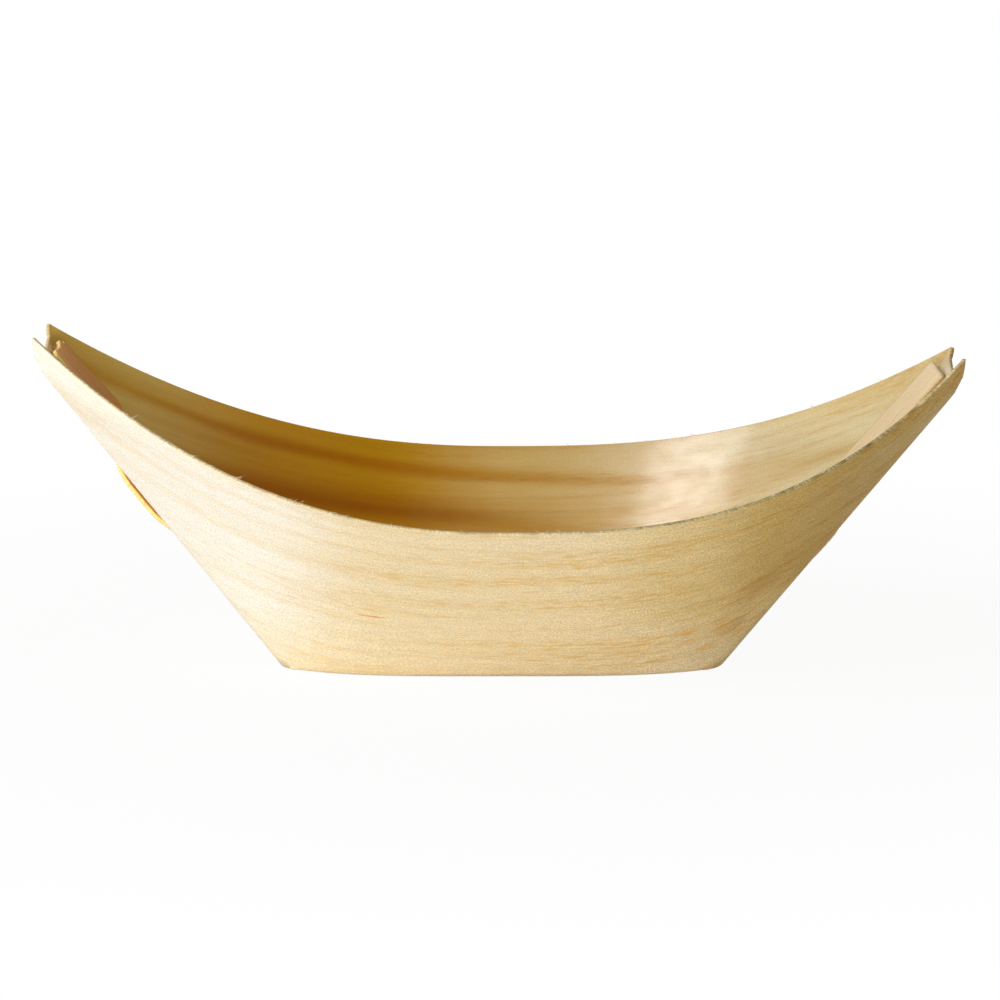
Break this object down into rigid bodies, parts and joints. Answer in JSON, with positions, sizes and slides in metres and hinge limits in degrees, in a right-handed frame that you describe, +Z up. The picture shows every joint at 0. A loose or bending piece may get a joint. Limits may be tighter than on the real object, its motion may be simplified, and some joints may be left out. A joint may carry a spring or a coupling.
{
  "type": "wooden snack boat",
  "caption": "Open boat-shaped snack dish folded from thin pine veneer, with a flat bottom, flared sides rising to pointed ends, and veneer strips woven through the ends to lock them",
  "frame": {"origin": "centre of the bounding box's bottom face, on the table under the middle of the flat bottom", "axes": "+X along the boat toward its lower end, +Y toward its back side, +Z up"},
  "size_m": [0.1701, 0.085, 0.0592],
  "materials": {
    "pine_veneer": "bare pine veneer, fine straight grain along the boat, satin where the knife left it smooth",
    "strip_veneer": "bare pine veneer, a little redder than the hull, grain along the strip"
  },
  "bodies": {
    "root": {"folded_hull": "pine_veneer", "left_lock_strip": "strip_veneer", "right_lock_strip": "strip_veneer"}
  },
  "joints": []
}
